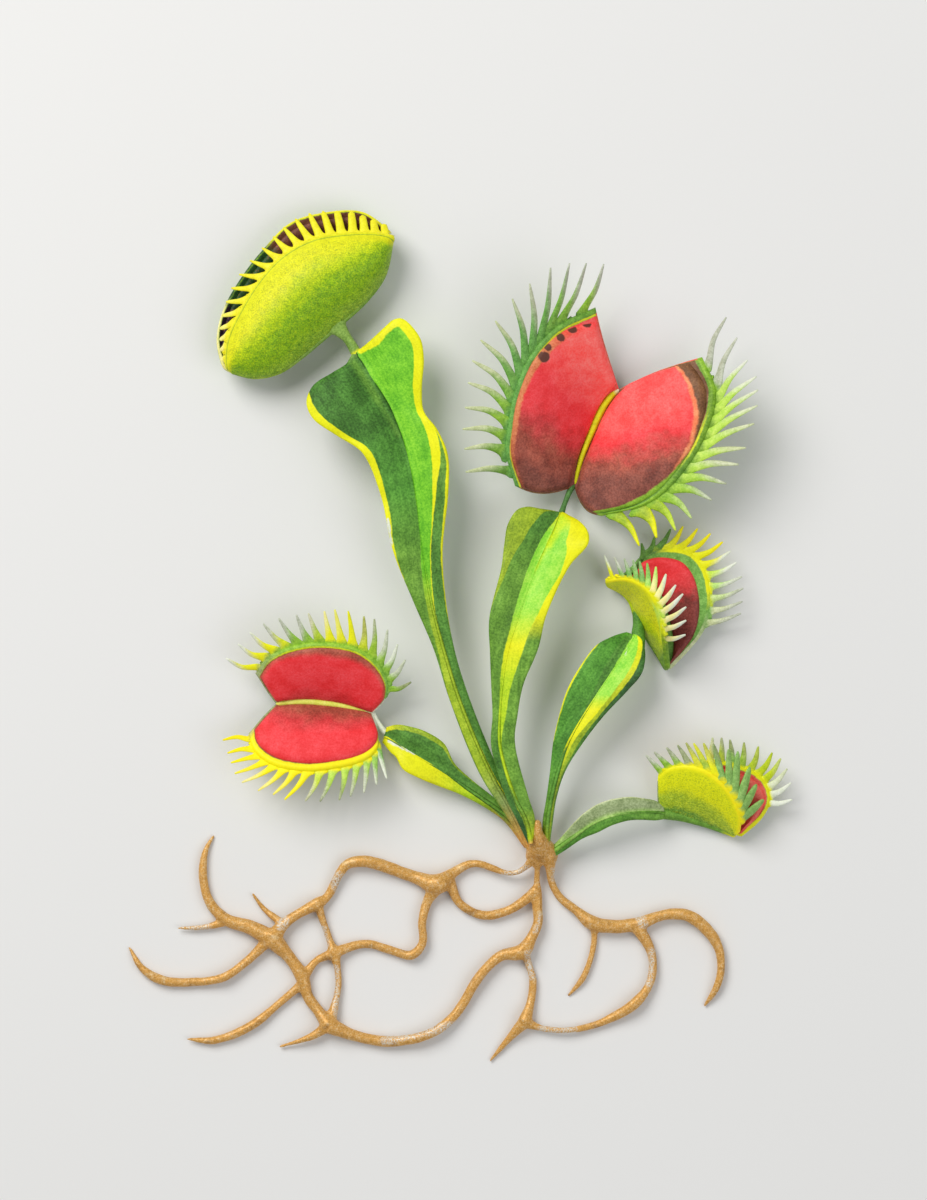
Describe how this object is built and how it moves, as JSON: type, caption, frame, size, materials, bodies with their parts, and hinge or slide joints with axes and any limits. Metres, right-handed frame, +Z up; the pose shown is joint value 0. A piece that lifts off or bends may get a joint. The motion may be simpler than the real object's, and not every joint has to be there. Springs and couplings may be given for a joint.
{
  "type": "bare-root venus flytrap",
  "caption": "Insect-catching plant lifted from its pot and lying flat: a golden net of roots, winged leaf stalks and toothed traps, some open and some shut.",
  "frame": {"origin": "the flat spot under the crown, on the table that the plant lies on", "axes": "+Y from the roots to the leaf tips, +Z up from the table, +X to the right of a viewer who looks down with the leaves pointing away"},
  "size_m": [0.1063, 0.1365, 0.0134],
  "materials": {
    "root_gold": "golden, finely grained, softly shining skin of the crown and roots",
    "leaf_green": "leaf skin, dark green on one side of the midrib and bright green on the other, yellow margins, soft sheen",
    "trap_green": "yellow-green, finely speckled outer skin of the traps, with teeth that pale towards their tips",
    "lining_red": "moist coral red inner skin that darkens to brown red",
    "lining_brown": "dark brown inner skin of the shut trap"
  },
  "bodies": {
    "root": {"crown_and_roots": "root_gold", "tall_left_stalk": "leaf_green", "tall_middle_stalk": "leaf_green", "short_right_stalk": "leaf_green", "low_right_stalk": "leaf_green", "short_left_stalk": "leaf_green", "tall_left_trap": "trap_green", "tall_middle_trap": "trap_green", "short_right_trap": "trap_green", "low_right_trap": "trap_green", "short_left_trap": "trap_green", "tall_left_back_lining": "lining_brown", "tall_middle_front_lining": "lining_red", "tall_middle_back_lining": "lining_red", "short_right_back_lining": "lining_red", "low_right_back_lining": "lining_red", "short_left_front_lining": "lining_red", "short_left_back_lining": "lining_red"}
  },
  "joints": []
}
